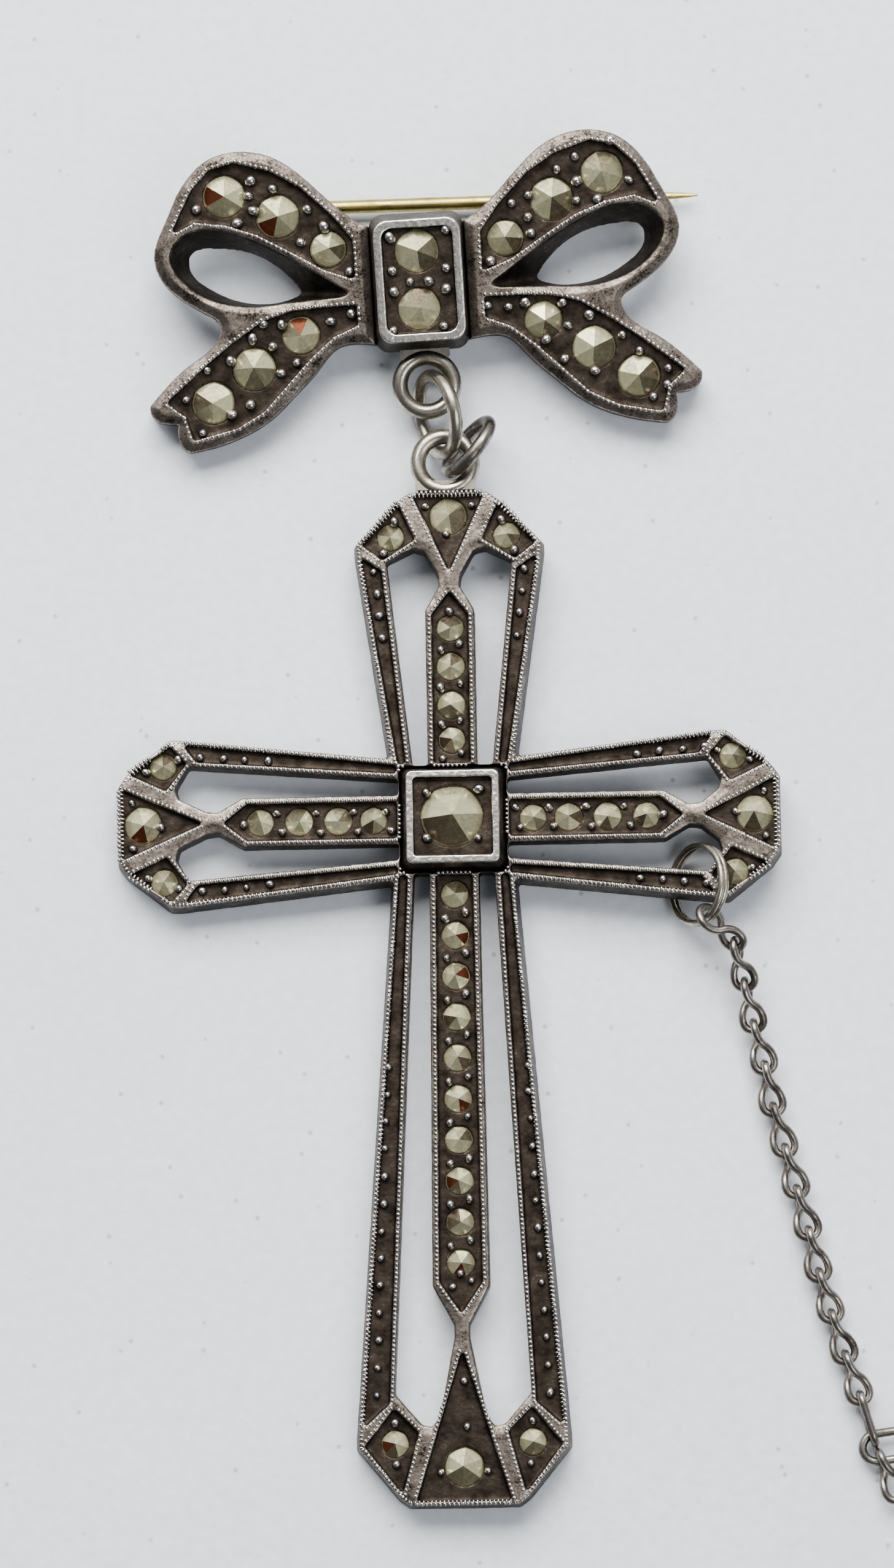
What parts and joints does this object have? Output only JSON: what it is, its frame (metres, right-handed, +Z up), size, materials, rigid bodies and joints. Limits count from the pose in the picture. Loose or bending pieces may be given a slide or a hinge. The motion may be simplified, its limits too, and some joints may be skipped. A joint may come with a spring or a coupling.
{
  "type": "brooch",
  "caption": "Silver bow brooch set with marcasites, with a hinged pin, an openwork cross pendant and a safety chain.",
  "frame": {"origin": "middle of the outline of the whole piece as it lies on a table, at table height", "axes": "+Z up from the table through the face, +Y from the cross to the bow, +X towards the chain's side"},
  "size_m": [0.051, 0.0712, 0.0051],
  "materials": {
    "silver": "oxidised cast silver with burnished edges",
    "ring_silver": "tarnished yellowish silver wire",
    "chain_silver": "dark tarnished silver wire",
    "guard_steel": "plated steel wire and cap",
    "brass": "dull worn brass",
    "marcasite": "polished faceted pyrite"
  },
  "bodies": {
    "bow": {"bow_frame": "silver", "bow_knot": "silver", "knot_marcasites": "marcasite", "left_loop_marcasites": "marcasite", "left_tail_marcasites": "marcasite", "right_loop_marcasites": "marcasite", "right_tail_marcasites": "marcasite", "bow_ring": "silver", "hinge_plate": "silver", "catch": "silver"},
    "pin_rivet": {"hinge_rivet": "brass"},
    "pin": {"pin_stem": "brass"},
    "large_ring": {"large_jump_ring": "ring_silver"},
    "cross": {"cross_frame": "silver", "centre_box": "silver", "centre_marcasite": "marcasite", "top_arm_marcasites": "marcasite", "left_arm_marcasites": "marcasite", "right_arm_marcasites": "marcasite", "lower_arm_marcasites": "marcasite", "cross_ring": "silver"},
    "small_ring": {"small_jump_ring": "ring_silver"},
    "chain_ring": {"chain_ring": "ring_silver"},
    "link_01": {"chain_link_01": "chain_silver"},
    "link_02": {"chain_link_02": "chain_silver"},
    "link_03": {"chain_link_03": "chain_silver"},
    "link_04": {"chain_link_04": "chain_silver"},
    "link_05": {"chain_link_05": "chain_silver"},
    "link_06": {"chain_link_06": "chain_silver"},
    "link_07": {"chain_link_07": "chain_silver"},
    "link_08": {"chain_link_08": "chain_silver"},
    "link_09": {"chain_link_09": "chain_silver"},
    "link_10": {"chain_link_10": "chain_silver"},
    "link_11": {"chain_link_11": "chain_silver"},
    "link_12": {"chain_link_12": "chain_silver"},
    "link_13": {"chain_link_13": "chain_silver"},
    "guard_pin": {"guard_pin_wire": "guard_steel", "guard_pin_cap": "guard_steel"},
    "spare_link": {"spare_link": "chain_silver"}
  },
  "joints": [
    {"name": "pin_side_spring", "type": "hinge", "parent": "bow", "child": "pin_rivet", "pos_m": [-0.01971, 0.03178, 0.00083], "axis": [0.0121, -0.1818, 0.9833], "range_deg": [0, 2.3], "stiffness_Nm_per_rad": 0.001},
    {"name": "pin_swing", "type": "hinge", "parent": "pin_rivet", "child": "pin", "pos_m": [-0.01971, 0.03178, 0.00083], "axis": [-0.0352, 0.9826, 0.1822], "range_deg": [0, 95]},
    {"name": "large_ring_swing", "type": "hinge", "parent": "bow", "child": "large_ring", "pos_m": [-0.00942, 0.021, 0.0014], "axis": [0.9978, 0.0663, 0], "range_deg": [-25, 30]},
    {"name": "cross_swing", "type": "hinge", "parent": "large_ring", "child": "cross", "pos_m": [-0.00859, 0.01958, 0.00192], "axis": [0.9995, 0.0166, 0.0287], "range_deg": [-30, 30]},
    {"name": "small_ring_swing", "type": "hinge", "parent": "cross", "child": "small_ring", "pos_m": [-0.00741, 0.01897, 0.00195], "axis": [-0.5672, 0.8236, -0.0044], "range_deg": [-15, 15]},
    {"name": "chain_ring_swing", "type": "hinge", "parent": "cross", "child": "chain_ring", "pos_m": [0.00442, -0.00384, 0.00177], "axis": [0.9959, -0.0867, 0.0271], "range_deg": [-12, 12]},
    {"name": "link_01_swing", "type": "hinge", "parent": "chain_ring", "child": "link_01", "pos_m": [0.00449, -0.00519, 0.0028], "axis": [-0.3744, -0.6116, 0.6969], "range_deg": [-8, 8]},
    {"name": "link_02_swing", "type": "hinge", "parent": "link_01", "child": "link_02", "pos_m": [0.00623, -0.00672, 0.00239], "axis": [0.2531, 0.4346, -0.8643], "range_deg": [-20, 20]},
    {"name": "link_03_swing", "type": "hinge", "parent": "link_02", "child": "link_03", "pos_m": [0.00679, -0.00867, 0.00158], "axis": [-0.2001, -0.2277, 0.9529], "range_deg": [-20, 20]},
    {"name": "link_04_swing", "type": "hinge", "parent": "link_03", "child": "link_04", "pos_m": [0.00723, -0.01078, 0.00117], "axis": [0.1049, 0.1232, -0.9868], "range_deg": [-20, 20]},
    {"name": "link_05_swing", "type": "hinge", "parent": "link_04", "child": "link_05", "pos_m": [0.00779, -0.01288, 0.00096], "axis": [0.0089, -0.0458, 0.9989], "range_deg": [-20, 20]},
    {"name": "link_06_swing", "type": "hinge", "parent": "link_05", "child": "link_06", "pos_m": [0.0082, -0.01503, 0.00086], "axis": [-0.0064, 0.0224, -0.9997], "range_deg": [-20, 20]},
    {"name": "link_07_swing", "type": "hinge", "parent": "link_06", "child": "link_07", "pos_m": [0.00881, -0.01714, 0.00081], "axis": [0.0031, -0.0112, 0.9999], "range_deg": [-20, 20]},
    {"name": "link_08_swing", "type": "hinge", "parent": "link_07", "child": "link_08", "pos_m": [0.0094, -0.01925, 0.00078], "axis": [-0.0015, 0.0056, -1], "range_deg": [-20, 20]},
    {"name": "link_09_swing", "type": "hinge", "parent": "link_08", "child": "link_09", "pos_m": [0.00998, -0.02136, 0.00077], "axis": [0.0007, -0.0028, 1], "range_deg": [-20, 20]},
    {"name": "link_10_swing", "type": "hinge", "parent": "link_09", "child": "link_10", "pos_m": [0.01049, -0.02349, 0.00077], "axis": [-0.0004, 0.0014, -1], "range_deg": [-20, 20]},
    {"name": "link_11_swing", "type": "hinge", "parent": "link_10", "child": "link_11", "pos_m": [0.01111, -0.02559, 0.00076], "axis": [0.0002, -0.0007, 1], "range_deg": [-20, 20]},
    {"name": "link_12_swing", "type": "hinge", "parent": "link_11", "child": "link_12", "pos_m": [0.01179, -0.02767, 0.00076], "axis": [-0.0001, 0.0003, -1], "range_deg": [-20, 20]},
    {"name": "link_13_swing", "type": "hinge", "parent": "link_12", "child": "link_13", "pos_m": [0.01252, -0.02973, 0.00076], "axis": [0.0001, -0.0002, 1], "range_deg": [-20, 20]},
    {"name": "guard_pin_swing", "type": "hinge", "parent": "link_13", "child": "guard_pin", "pos_m": [0.0133, -0.03229, 0.00076], "axis": [0.0001, -0.0002, 1], "range_deg": [-20, 20]},
    {"name": "spare_link_swing", "type": "hinge", "parent": "guard_pin", "child": "spare_link", "pos_m": [0.01344, -0.03267, 0.00076], "axis": [0, 0, 1], "range_deg": [-20, 20]}
  ]
}
